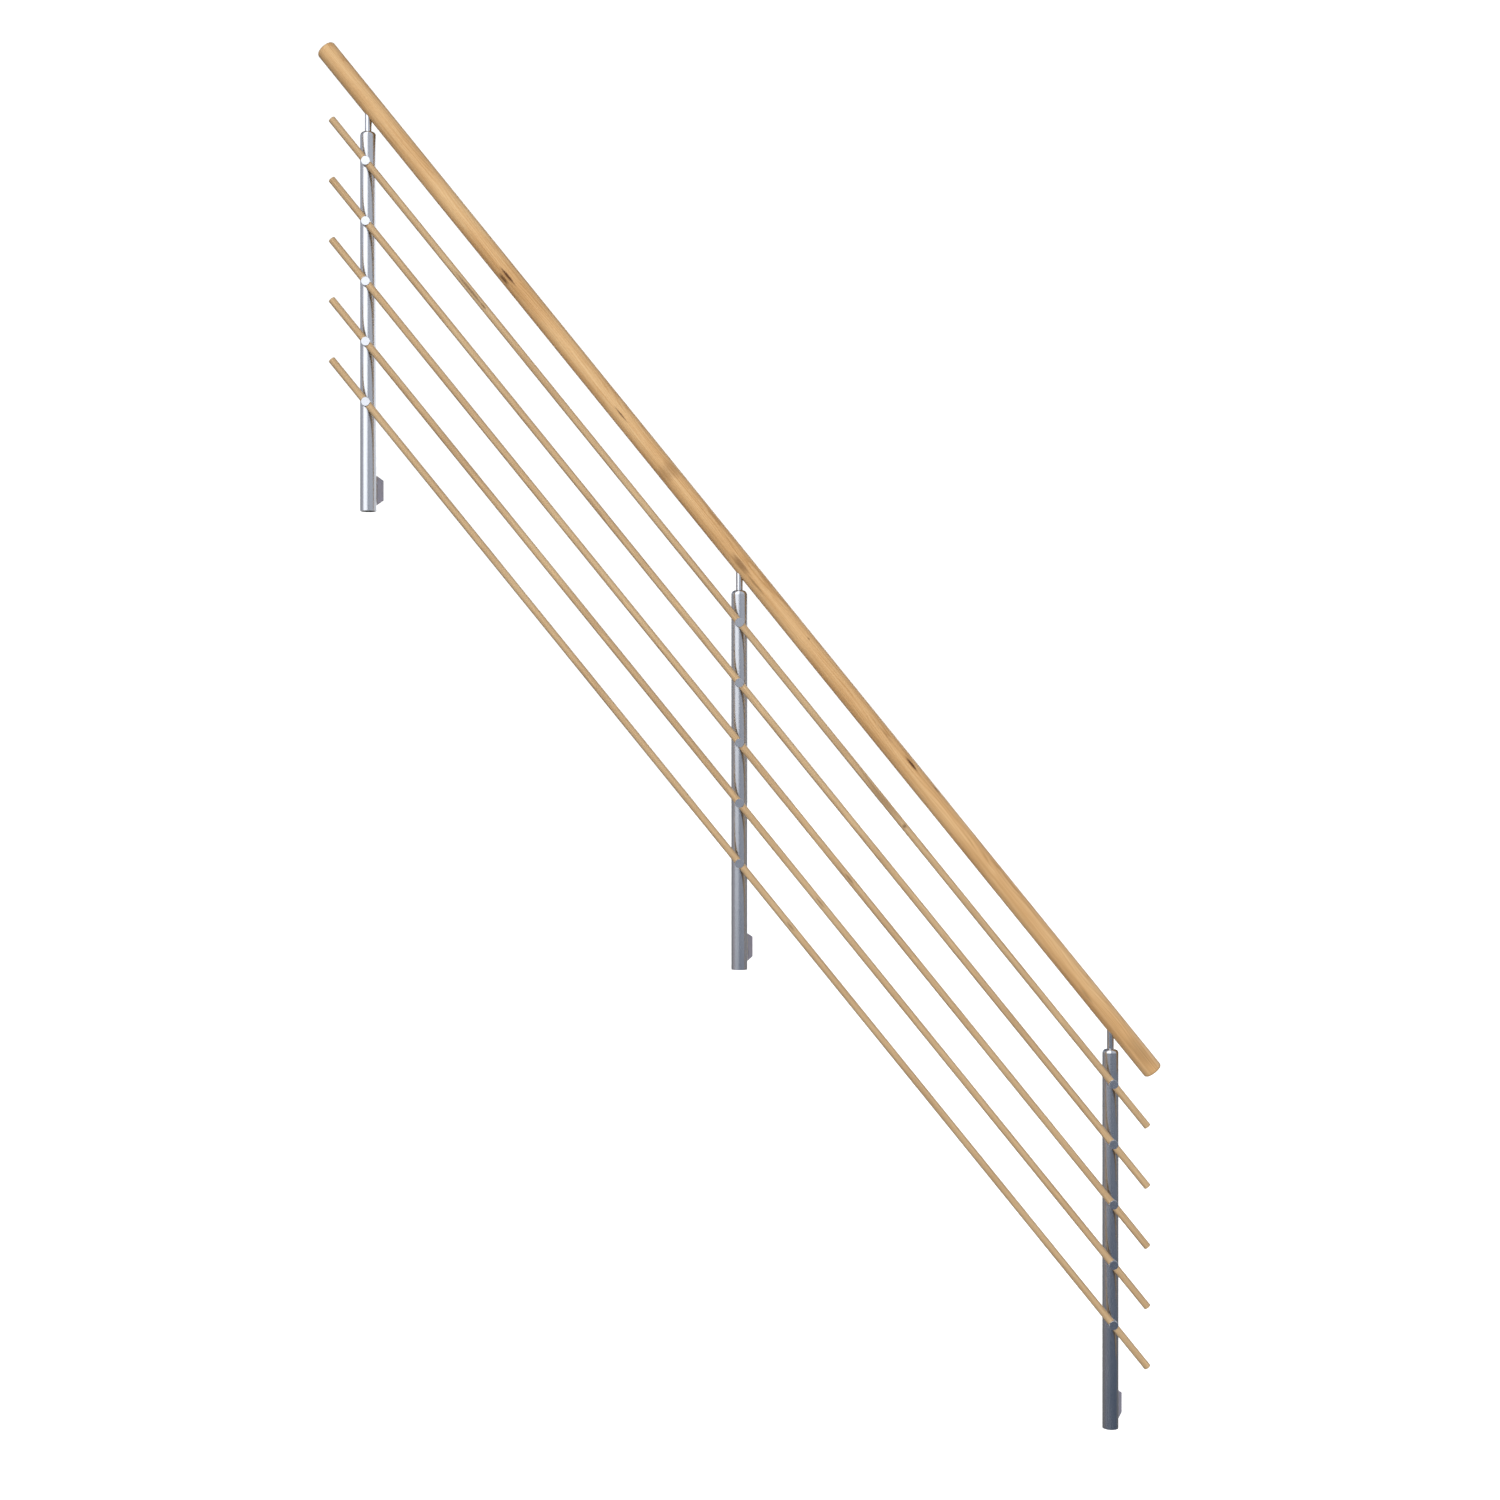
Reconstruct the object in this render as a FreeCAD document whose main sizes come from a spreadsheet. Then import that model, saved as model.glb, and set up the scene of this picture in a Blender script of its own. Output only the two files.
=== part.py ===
"""Stair balustrade panel: three round posts, a wooden handrail on pins and five slanting rods.

Millimetres, +Z up. +X runs down the stair and +Y points at the stringer that carries the panel.
The origin is on the lower bracket's bearing face, midway between its two tapped holes.
"""
import FreeCAD
import Part
import Sketcher
import os
import re

# Driving dimensions: name, value, what it measures
DIMENSIONS = (
    ("bay_run", 914, "level distance between neighbouring post axes"),
    ("pitch_deg", 51, "slope of the rail and the rods"),
    ("post_dia", 40, "outside of the post tube"),
    ("post_wall", 2, "wall of the post tube"),
    ("tube_length", 922.5, "length of the post tube"),
    ("cap_land", 0.85, "flat ring between the cap's dome and the pin's hole"),
    ("cap_skirt", 1, "straight side of the cap under its dome"),
    ("cap_spigot", 22, "depth of the cap's spigot in the tube"),
    ("pin_dia", 17, "diameter of the rail pin"),
    ("pin_chamfer", 1, "chamfer on the pin's upper end"),
    ("pin_bite", 4, "how far the pin ends above the rail's axis"),
    ("rail_dia", 50, "diameter of the handrail"),
    ("rail_rise", 75, "rail's axis above the top of the cap"),
    ("rail_over", 107, "level reach of the rail past an end post's axis"),
    ("rail_end_round", 8, "radius on the rail's ends"),
    ("rod_dia", 18, "diameter of a rod"),
    ("rod_drop", 157, "height of the rail's axis above the top rod's axis"),
    ("rod_spacing", 147.25, "upright distance between neighbouring rods"),
    ("rod_over", 85, "level reach of a rod past an end post's axis"),
    ("rod_stand", 32, "rod's axis in front of the post's axis"),
    ("rod_chamfer", 1, "chamfer on a rod's ends"),
    ("holder_dia", 22, "diameter of a rod holder"),
    ("holder_front", 13, "holder's face in front of the rod's axis"),
    ("holder_chamfer", 0.5, "chamfer round the holder's face"),
    ("bracket_height", 76, "height of the bracket at its root"),
    ("bracket_tip", 49, "height of the bracket's outer edge"),
    ("bracket_root", 8, "bracket's inner edge from the post's axis"),
    ("bracket_shoulder", 14, "start of the bracket's taper from the post's axis"),
    ("bracket_reach", 33.5, "bracket's outer edge from the post's axis"),
    ("bracket_thick", 22, "depth of the bracket, front to back"),
    ("bracket_strip", 2.5, "width of the bracket's front face past the tube's side"),
    ("bracket_lip", 2, "thickness left at the bracket's outer edge"),
    ("bracket_proud", 8, "bearing face behind the back of the tube"),
    ("bracket_level", 54, "middle of the bracket above the foot of the post"),
    ("bracket_round", 2, "radius of the bracket's outer corners"),
    ("hole_dia", 6.8, "tapping hole in the bracket"),
    ("hole_depth", 8, "depth of the tapping hole"),
    ("hole_spacing", 28, "upright distance between the bracket's holes"),
    ("hole_offset", 22, "bracket's holes from the post's axis"),
    ("plug_inset", 2, "foot plug's face above the foot of the tube"),
    ("plug_depth", 16, "length of the foot plug"),
    ("plug_wall", 3, "wall and face of the foot plug"),
    ("fit_gap", 0.15, "gap all round a pin, spigot or plug in its bore"),
    ("rod_gap", 0.2, "gap all round a rod in its holder"),
    ("seat_gap", 0.2, "gap between a hollowed back and the round tube"),
)

ROD_COUNT = 5
POST_NAMES = ("lower", "middle", "upper")

# Places and sizes that follow from the driving dimensions
POST_RADIUS = "post_dia / 2"
BORE_RADIUS = "(post_dia / 2 - post_wall)"
SPIGOT_RADIUS = f"({BORE_RADIUS} - fit_gap)"
PIN_HOLE_RADIUS = "(pin_dia / 2 + fit_gap)"
DOME_RADIUS = f"({POST_RADIUS} - {PIN_HOLE_RADIUS} - cap_land)"
CAP_RISE = f"({DOME_RADIUS} + cap_skirt)"
SEAT_RADIUS = "(post_dia / 2 + seat_gap)"
BAY_RISE = "(bay_run * tan(pitch_deg))"
BRACKET_NOSE = "(post_dia / 2 + bracket_strip)"
POST_Y = "-(post_dia / 2 + bracket_proud)"
FOOT_Z = "-bracket_level"
TUBE_TOP_Z = f"({FOOT_Z} + tube_length)"
RAIL_Z = f"({TUBE_TOP_Z} + {CAP_RISE} + rail_rise)"
SPIGOT_FOOT_Z = f"({TUBE_TOP_Z} - cap_spigot)"

NAMES = re.compile(r"\b(" + "|".join(name for name, value, meaning in DIMENSIONS) + r")\b")


def cells(formula):
    """Points each dimension's name in a formula at its cell of the sheet."""
    return NAMES.sub(r"Sizes.\1", formula)


def bind(thing, prop, formula):
    thing.setExpression(prop, cells(formula))


def make_sheet(doc):
    sheet = doc.addObject("Spreadsheet::Sheet", "Sizes")
    for row, (name, value, meaning) in enumerate(DIMENSIONS, start=1):
        sheet.set(f"A{row}", meaning)
        sheet.set(f"B{row}", str(value))
        sheet.setAlias(f"B{row}", name)
    doc.recompute()


def post_x(step):
    return f"-(hole_offset + {step} * bay_run)"


def above(step, level):
    """Lifts a level of the lower post by a number of bays."""
    return f"{level} + {step} * {BAY_RISE}"


def rod_level(number):
    """Height of a rod's axis at the lower post, rod 1 being the top one."""
    return f"({RAIL_Z} - rod_drop - {number - 1} * rod_spacing)"


def new_body(doc, label, x, y, z):
    body = doc.addObject("PartDesign::Body", label)
    body.Label = label
    for axis, formula in zip("xyz", (x, y, z)):
        bind(body, f"Placement.Base.{axis}", formula)
    return body


def new_sketch(body, name, plane):
    """Starts a sketch on one of the body's own origin planes."""
    sketch = body.newObject("Sketcher::SketchObject", f"{body.Name}_{name}")
    support = next(item for item in body.Origin.OriginFeatures if item.Role == plane)
    sketch.AttachmentSupport = [(support, "")]
    sketch.MapMode = "FlatFace"
    return sketch


def across_the_slope(sketch):
    """Turns a sketch on the YZ plane until its normal runs down the stair."""
    lean = FreeCAD.Rotation(FreeCAD.Vector(1, 0, 0), 45)
    sketch.AttachmentOffset = FreeCAD.Placement(FreeCAD.Vector(0, 0, 0), lean)
    bind(sketch, "AttachmentOffset.Rotation.Angle", "pitch_deg")


def measure(sketch, kind, formula, *where):
    """Adds a dimension to a sketch and binds it to a formula."""
    index = sketch.addConstraint(Sketcher.Constraint(kind, *where, 1.0))
    name = f"size{index}"
    sketch.renameConstraint(index, name)
    bind(sketch, f"Constraints.{name}", formula)


def draw_circle(sketch, radius, x="0", y="0"):
    index = sketch.addGeometry(Part.Circle(FreeCAD.Vector(1, 1, 0), FreeCAD.Vector(0, 0, 1), 1.0))
    measure(sketch, "Radius", radius, index)
    measure(sketch, "DistanceX", x, -1, 1, index, 3)
    measure(sketch, "DistanceY", y, -1, 1, index, 3)


def draw_outline(sketch, corners):
    """Draws a closed outline from pairs of formulas, each measured from the sketch's origin."""
    count = len(corners)
    start = [FreeCAD.Vector(place, place * place, 0) for place in range(count)]
    for place in range(count):
        sketch.addGeometry(Part.LineSegment(start[place], start[(place + 1) % count]))
    for place, (x, y) in enumerate(corners):
        sketch.addConstraint(Sketcher.Constraint("Coincident", place, 2, (place + 1) % count, 1))
        measure(sketch, "DistanceX", x, -1, 1, place, 1)
        measure(sketch, "DistanceY", y, -1, 1, place, 1)


def pad(body, sketch, length, both_ways=False):
    feature = body.newObject("PartDesign::Pad", f"{sketch.Name}_pad")
    feature.Profile = sketch
    if both_ways:
        feature.SideType = "Symmetric"
    bind(feature, "Length", length)
    body.Document.recompute()
    return feature


def pocket(body, sketch, depth=None, both_ways=False, reverse=False):
    """Cuts a sketch into the body, right through where no depth is given."""
    before = body.Shape.Volume
    feature = body.newObject("PartDesign::Pocket", f"{sketch.Name}_cut")
    feature.Profile = sketch
    feature.Reversed = reverse
    if both_ways:
        feature.SideType = "Symmetric"
    if depth is None:
        feature.Type = "ThroughAll"
    else:
        bind(feature, "Length", depth)
    body.Document.recompute()
    if not body.Shape.Volume < before:
        raise RuntimeError(f"{feature.Name} cuts nothing")
    return feature


def revolve(body, sketch):
    """Turns a profile drawn on the XZ plane round the body's own Z axis."""
    feature = body.newObject("PartDesign::Revolution", f"{sketch.Name}_turn")
    feature.Profile = sketch
    feature.ReferenceAxis = (sketch, ["V_Axis"])
    feature.Angle = 360
    body.Document.recompute()
    return feature


def edges_where(feature, test):
    return [f"Edge{number}" for number, edge in enumerate(feature.Shape.Edges, start=1) if test(edge)]


def is_round(edge):
    return isinstance(edge.Curve, Part.Circle)


def ease_edges(body, kind, feature, test, prop, size):
    """Rounds or chamfers the edges of a feature that pass a test."""
    eased = body.newObject(f"PartDesign::{kind}", f"{feature.Name}_{kind.lower()}")
    eased.Base = (feature, edges_where(feature, test))
    bind(eased, prop, size)
    body.Document.recompute()
    return eased


def make_slanted_bar(doc, label, y, z, diameter, over):
    """A round bar along the slope, with its middle at the middle post."""
    body = new_body(doc, label, post_x(1), y, above(1, z))
    section = new_sketch(body, "section", "YZ_Plane")
    across_the_slope(section)
    draw_circle(section, f"{diameter} / 2")
    length = f"2 * (bay_run + {over}) / cos(pitch_deg)"
    return body, pad(body, section, length, both_ways=True)


def make_handrail(doc):
    body, bar = make_slanted_bar(doc, "handrail", POST_Y, RAIL_Z, "rail_dia", "rail_over")
    ease_edges(body, "Fillet", bar, is_round, "Radius", "rail_end_round")
    for step in range(len(POST_NAMES)):
        hole = new_sketch(body, f"pin_hole_{POST_NAMES[step]}", "XY_Plane")
        bind(hole, "AttachmentOffset.Base.x", f"{1 - step} * bay_run")
        bind(hole, "AttachmentOffset.Base.z", f"{step - 1} * {BAY_RISE} + pin_bite + fit_gap")
        draw_circle(hole, PIN_HOLE_RADIUS)
        pocket(body, hole)
    return body


def make_rod(doc, number):
    y = f"{POST_Y} - rod_stand"
    body, bar = make_slanted_bar(doc, f"rod_{number}", y, rod_level(number), "rod_dia", "rod_over")
    ease_edges(body, "Chamfer", bar, is_round, "Size", "rod_chamfer")
    return body


def make_tube(doc, step):
    label = f"{POST_NAMES[step]}_post_tube"
    body = new_body(doc, label, post_x(step), POST_Y, above(step, FOOT_Z))
    section = new_sketch(body, "section", "XY_Plane")
    draw_circle(section, POST_RADIUS)
    draw_circle(section, BORE_RADIUS)
    pad(body, section, "tube_length")
    return body


def make_cap(doc, step):
    """A turned cap: a domed shoulder on the tube's end, a spigot in it and a bore for the pin."""
    label = f"{POST_NAMES[step]}_post_cap"
    body = new_body(doc, label, post_x(step), POST_Y, above(step, TUBE_TOP_Z))
    profile = new_sketch(body, "profile", "XZ_Plane")
    corners = (
        (PIN_HOLE_RADIUS, "-cap_spigot"),
        (SPIGOT_RADIUS, "-cap_spigot"),
        (SPIGOT_RADIUS, "0"),
        (POST_RADIUS, "0"),
        (POST_RADIUS, CAP_RISE),
        (PIN_HOLE_RADIUS, CAP_RISE),
    )
    draw_outline(profile, corners)
    turned = revolve(body, profile)
    top = max(vertex.Z for vertex in turned.Shape.Vertexes)
    widest = turned.Shape.BoundBox.XMax

    def is_rim(edge):
        near_top = abs(edge.BoundBox.ZMin - top) < Part.Precision.confusion()
        return near_top and is_round(edge) and edge.Curve.Radius > 0.99 * widest

    ease_edges(body, "Fillet", turned, is_rim, "Radius", DOME_RADIUS)
    return body


def make_pin(doc, step):
    label = f"{POST_NAMES[step]}_rail_pin"
    body = new_body(doc, label, post_x(step), POST_Y, above(step, SPIGOT_FOOT_Z))
    section = new_sketch(body, "section", "XY_Plane")
    draw_circle(section, "pin_dia / 2")
    shaft = pad(body, section, f"cap_spigot + {CAP_RISE} + rail_rise + pin_bite")

    def is_upper_rim(edge):
        return is_round(edge) and edge.BoundBox.ZMin > shaft.Shape.BoundBox.Center.z

    ease_edges(body, "Chamfer", shaft, is_upper_rim, "Size", "pin_chamfer")
    return body


def make_holder(doc, step, number):
    """A turned stub that sits on the tube and takes a rod through it at the stair's pitch."""
    label = f"{POST_NAMES[step]}_holder_{number}"
    body = new_body(doc, label, post_x(step), POST_Y, above(step, rod_level(number)))
    face = new_sketch(body, "face", "XZ_Plane")
    draw_circle(face, "holder_dia / 2")
    stub = pad(body, face, "rod_stand + holder_front")

    def is_front_rim(edge):
        return is_round(edge) and edge.BoundBox.YMax < stub.Shape.BoundBox.Center.y

    ease_edges(body, "Chamfer", stub, is_front_rim, "Size", "holder_chamfer")
    seat = new_sketch(body, "seat", "XY_Plane")
    draw_circle(seat, SEAT_RADIUS)
    pocket(body, seat, both_ways=True)
    bore = new_sketch(body, "bore", "YZ_Plane")
    across_the_slope(bore)
    draw_circle(bore, "rod_dia / 2 + rod_gap", x="-rod_stand")
    pocket(body, bore, both_ways=True)
    return body


def make_bracket(doc, step):
    """A wedge between the tube and the stringer, hollowed for the tube, tapped in its bearing face."""
    label = f"{POST_NAMES[step]}_foot_bracket"
    body = new_body(doc, label, post_x(step), "0", above(step, "0"))
    outline = new_sketch(body, "outline", "XZ_Plane")
    corners = (
        ("bracket_root", "-bracket_height / 2"),
        ("bracket_shoulder", "-bracket_height / 2"),
        ("bracket_reach", "-bracket_tip / 2"),
        ("bracket_reach", "bracket_tip / 2"),
        ("bracket_shoulder", "bracket_height / 2"),
        ("bracket_root", "bracket_height / 2"),
    )
    draw_outline(outline, corners)
    block = pad(body, outline, "bracket_thick")
    root = block.Shape.BoundBox.XMin

    def is_outer_corner(edge):
        runs_back = edge.BoundBox.YLength > max(edge.BoundBox.XLength, edge.BoundBox.ZLength)
        return runs_back and edge.BoundBox.XMin > root + Part.Precision.confusion()

    ease_edges(body, "Fillet", block, is_outer_corner, "Radius", "bracket_round")
    flank = new_sketch(body, "flank", "XY_Plane")
    corners = (
        (BRACKET_NOSE, "-bracket_thick"),
        ("bracket_reach", "-bracket_thick"),
        ("bracket_reach", "-bracket_lip"),
    )
    draw_outline(flank, corners)
    pocket(body, flank, both_ways=True)
    seat = new_sketch(body, "seat", "XY_Plane")
    draw_circle(seat, SEAT_RADIUS, y=POST_Y)
    pocket(body, seat, both_ways=True)
    holes = new_sketch(body, "holes", "XZ_Plane")
    for side in (-1, 1):
        draw_circle(holes, "hole_dia / 2", x="hole_offset", y=f"{side} * hole_spacing / 2")
    pocket(body, holes, depth="hole_depth", reverse=True)
    return body


def make_plug(doc, step):
    """A moulded cup pressed into the foot of the tube, closed end down."""
    label = f"{POST_NAMES[step]}_foot_plug"
    body = new_body(doc, label, post_x(step), POST_Y, above(step, f"{FOOT_Z} + plug_inset"))
    section = new_sketch(body, "section", "XY_Plane")
    draw_circle(section, SPIGOT_RADIUS)
    pad(body, section, "plug_depth")
    hollow = new_sketch(body, "hollow", "XY_Plane")
    bind(hollow, "AttachmentOffset.Base.z", "plug_depth")
    draw_circle(hollow, f"{SPIGOT_RADIUS} - plug_wall")
    pocket(body, hollow, depth="plug_depth - plug_wall")
    return body


def make_parts(doc):
    parts = [make_handrail(doc)]
    for number in range(1, ROD_COUNT + 1):
        parts.append(make_rod(doc, number))
    for step in range(len(POST_NAMES)):
        parts.append(make_tube(doc, step))
        parts.append(make_cap(doc, step))
        parts.append(make_pin(doc, step))
        parts.append(make_bracket(doc, step))
        parts.append(make_plug(doc, step))
        for number in range(1, ROD_COUNT + 1):
            parts.append(make_holder(doc, step, number))
    return parts


def check(doc, parts):
    """Stops before anything is written if a feature failed or a part is not one sound solid."""
    failed = [item.Name for item in doc.Objects if "Invalid" in item.State or "Error" in item.State]
    if failed:
        raise RuntimeError(f"failed features: {failed}")
    for part in parts:
        shape = part.Shape
        if shape.isNull() or not shape.isValid() or len(shape.Solids) != 1:
            raise RuntimeError(f"{part.Label} is not one sound solid")


def main():
    doc = FreeCAD.newDocument("balustrade_panel")
    make_sheet(doc)
    parts = make_parts(doc)
    doc.recompute()
    check(doc, parts)
    os.makedirs("parts", exist_ok=True)
    for part in parts:
        part.Shape.exportStep(f"parts/{part.Label}.step")


main()
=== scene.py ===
"""Dresses the stair balustrade panel: lacquered oak, ground steel and the small fixings, on a plain stage.

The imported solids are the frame. They keep their shapes and get their finishes here, and the grub screws
and weld beads are modelled on them. Lengths are in metres, +Z is up and +X runs down the stair.
"""
import math

import bpy
from bpy.props import FloatProperty, FloatVectorProperty, PointerProperty
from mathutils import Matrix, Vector


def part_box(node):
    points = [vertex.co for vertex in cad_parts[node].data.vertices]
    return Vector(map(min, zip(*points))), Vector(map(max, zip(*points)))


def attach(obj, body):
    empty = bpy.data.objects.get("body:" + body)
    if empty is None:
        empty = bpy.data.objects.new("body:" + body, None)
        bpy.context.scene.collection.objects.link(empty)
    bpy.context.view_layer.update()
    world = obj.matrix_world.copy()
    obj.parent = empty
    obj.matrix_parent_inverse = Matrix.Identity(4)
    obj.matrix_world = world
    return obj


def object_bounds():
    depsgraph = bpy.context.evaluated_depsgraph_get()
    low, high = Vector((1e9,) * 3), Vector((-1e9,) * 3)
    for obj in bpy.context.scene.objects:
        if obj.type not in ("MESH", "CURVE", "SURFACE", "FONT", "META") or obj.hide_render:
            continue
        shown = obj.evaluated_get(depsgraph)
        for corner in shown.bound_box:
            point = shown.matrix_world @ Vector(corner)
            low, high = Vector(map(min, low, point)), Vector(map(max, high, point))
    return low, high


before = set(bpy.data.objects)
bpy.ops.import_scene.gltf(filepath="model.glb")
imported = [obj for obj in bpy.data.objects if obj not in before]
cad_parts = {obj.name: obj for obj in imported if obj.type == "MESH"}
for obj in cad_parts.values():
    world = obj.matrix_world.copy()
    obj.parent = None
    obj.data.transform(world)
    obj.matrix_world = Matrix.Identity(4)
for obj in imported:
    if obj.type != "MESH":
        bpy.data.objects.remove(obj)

bl_info = {
    "name": "Stair balustrade panel",
    "version": (1, 0, 0),
    "blender": (4, 5, 0),
    "location": "3D View > Sidebar > Balustrade",
    "description": "Finishes, small fixings and studio stage of a stair balustrade panel",
    "category": "Object",
}

CAD_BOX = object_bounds()
MM = 0.001

POSTS = ("lower", "middle", "upper")
RODS = ("1", "2", "3", "4", "5")


def middle(node):
    """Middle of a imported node's box."""
    low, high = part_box(node)
    return (low + high) / 2


LOWER_POST = middle("lower_post_tube")
BAY = middle("middle_post_tube") - LOWER_POST
PITCH = math.atan2(BAY.z, -BAY.x)
DOWN_STAIR = Vector((math.cos(PITCH), 0, -math.sin(PITCH)))
ACROSS = Vector((math.sin(PITCH), 0, math.cos(PITCH)))
FLOOR_LEVEL = CAD_BOX[0].z
PLUG_LOW, PLUG_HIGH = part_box("lower_foot_plug")
BORE_RADIUS = (PLUG_HIGH.x - PLUG_LOW.x) / 2

# Dark marks in the wood: distance from the upper end, distance across from the axis (up is +),
# length and width in mm, and how dark the mark is
RAIL_MARKS = (
    (726, -5, 58, 9, 1.0),
    (724, -17, 44, 8, 0.85),
    (1164, -3, 60, 5, 0.8),
    (1346, 0, 60, 60, 0.28),
    (1634, -6, 75, 20, 0.55),
    (1693, -9, 75, 6, 0.4),
    (1881, 9, 12, 5, 0.5),
    (2177, 8, 115, 6, 0.3),
    (2279, 12, 48, 7, 1.0),
    (2366, 20, 32, 5, 0.6),
    (2990, -12, 60, 8, 0.3),
    (3178, 3, 110, 30, 0.28),
)
ROD_PITCH = (middle("rod_1") - middle("rod_2")).dot(ACROSS) / MM
ROD_MARKS = (
    (540, 0, 150, 8, 0.65),
    (592, 0, 30, 7, 0.7),
    (2140, 0, 190, 14, 0.4),
    (2228, 0, 16, 12, 0.7),
    (2243, -2 * ROD_PITCH, 38, 7, 0.5),
    (2243, -3 * ROD_PITCH, 38, 6, 0.45),
    (2243, -4 * ROD_PITCH, 38, 7, 0.5),
)

# Growth rings: the bar's axis as seen from the pith, how far the rings wander, and how often per metre
FROM_PITH = (0, -50 * MM, 45 * MM)
RING_WANDER = (0, 30 * MM, 30 * MM)
RING_DRIFT = (3.0, 22.0, 22.0)

# Two noises added up stay mostly between these values
NOISE_SUM_LOW = 0.6
NOISE_SUM_HIGH = 1.4

# The room that the steel mirrors, by the upward share of a direction (Z) and by its share away from the
# camera (Y): where a change starts and ends, and the values there
ROOM_HEIGHTS = {
    "walls": (-0.33, 0.08, 0.0, 1.0),
    "near_floor": (-0.41, -0.64, 0.0, 1.0),
    "back": (0.2, 0.03, 0.0, 1.0),
    "tall_window": (-0.35, 0.15, 0.0, 1.0),
    "tall_window_lean": (-0.35, 0.25, -0.385, 0.275),
    "high_window": (0.10, 0.16, 0.0, 0.7),
    "right_wall": (-0.14, 0.26, 0.0, 1.0),
    "wood_foot": (-0.27, -0.21, 0.0, 1.0),
    "wood_top": (-0.17, -0.08, 1.0, 0.3),
    "ceiling": (0.32, 0.55, 0.0, -0.7),
}
ROOM_DEPTHS = {
    "back": (-0.3, 0.7, 0.0, 0.8),
    "ceiling": (-0.05, 0.35, 0.0, 1.0),
}

# The same share away from the camera, for the doorway and for the backdrop's light
DOORWAY = (0.86, 0.94)
BACKDROP = (0.65, 0.9)

# What stands where in that room: first and last degree, from the camera's side to the right, and the softness
TALL_WINDOW = (-63, -14, 8)
HIGH_WINDOW = (100, 165, 10)
RIGHT_WALL = (20, 105, 12)
WARM_WOOD = (-105, -55, 12)

# How bright the tall window is on its way up
WINDOW_STOPS = (
    (0.15, 0.0), (0.41, 0.04), (0.54, 0.07), (0.68, 0.23), (0.74, 0.33), (0.80, 0.80), (0.84, 1.0),
)

# Floor and backdrop are a little brighter than white, so that no edge shows between them
WHITE_STRENGTH = 1.1
FLOOR_SIZE = 120


def linear(hex_colour):
    """Turns an sRGB hex colour to linear RGB."""
    parts = [int(hex_colour[i:i + 2], 16) / 255 for i in (1, 3, 5)]
    return tuple(c / 12.92 if c <= 0.04045 else ((c + 0.055) / 1.055) ** 2.4 for c in parts)


def opaque(colour):
    """Adds a full alpha to a colour."""
    return (*colour, 1.0)


class BalustradeWood(bpy.types.PropertyGroup):
    """Colours and figure of the lacquered oak."""
    light: FloatVectorProperty(
        name="Light wood", description="Early wood and ray flecks",
        subtype="COLOR", min=0, max=1, default=linear("#E8C391"))
    mid: FloatVectorProperty(
        name="Wood", description="Main tone of the oak",
        subtype="COLOR", min=0, max=1, default=linear("#D8AC78"))
    dark: FloatVectorProperty(
        name="Late wood", description="Darker growth lines",
        subtype="COLOR", min=0, max=1, default=linear("#B98B57"))
    mark: FloatVectorProperty(
        name="Knots", description="Knots and mineral streaks",
        subtype="COLOR", min=0, max=1, default=linear("#5E3A1C"))
    pale: FloatVectorProperty(
        name="Pale wood", description="Tone that the rods lean to",
        subtype="COLOR", min=0, max=1, default=linear("#AAA591"))
    rod_paleness: FloatProperty(
        name="Rod paleness", description="How far the rods lean to the pale tone",
        subtype="FACTOR", min=0, max=1, default=0.35)
    ring: FloatProperty(
        name="Growth ring", description="Distance between growth rings",
        unit="LENGTH", min=0.0005, default=3.2 * MM)
    roughness: FloatProperty(
        name="Lacquer roughness", description="Satin lacquer",
        subtype="FACTOR", min=0, max=1, default=0.42)


class BalustradeSteel(bpy.types.PropertyGroup):
    """Colours and surface of the metal parts."""
    tube: FloatVectorProperty(
        name="Steel", description="Ground stainless steel",
        subtype="COLOR", min=0, max=1, default=linear("#C9CBCE"))
    tube_dark: FloatVectorProperty(
        name="Steel shade", description="Darker cloudiness of the ground steel",
        subtype="COLOR", min=0, max=1, default=linear("#BABDC1"))
    plate: FloatVectorProperty(
        name="Blasted steel", description="Bead-blasted steel of the foot brackets",
        subtype="COLOR", min=0, max=1, default=linear("#C0B8C8"))
    tint: FloatVectorProperty(
        name="Heat tint", description="Straw tint beside the welds",
        subtype="COLOR", min=0, max=1, default=linear("#DCC9A8"))
    # Painted shade: a near-black colour for the inside of the tubes, standing in for the shade down the bore
    shaded_bore: FloatVectorProperty(
        name="Bore", description="Unground inside of the tubes",
        subtype="COLOR", min=0, max=1, default=linear("#26272B"))
    plug: FloatVectorProperty(
        name="Plug", description="Black moulded plastic",
        subtype="COLOR", min=0, max=1, default=linear("#2A2B2E"))
    roughness: FloatProperty(
        name="Ground roughness", description="Roughness of the posts",
        subtype="FACTOR", min=0, max=1, default=0.26)
    cap_roughness: FloatProperty(
        name="Cap roughness", description="Roughness of the turned caps and pins",
        subtype="FACTOR", min=0, max=1, default=0.16)
    holder_roughness: FloatProperty(
        name="Holder roughness", description="Roughness of the turned holders and their screws",
        subtype="FACTOR", min=0, max=1, default=0.25)
    plate_roughness: FloatProperty(
        name="Blasted roughness", description="Roughness of the foot brackets",
        subtype="FACTOR", min=0, max=1, default=0.73)
    grind: FloatProperty(
        name="Grinding lines", description="Distance between the grinding lines",
        unit="LENGTH", min=0.0001, default=0.8 * MM)


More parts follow.
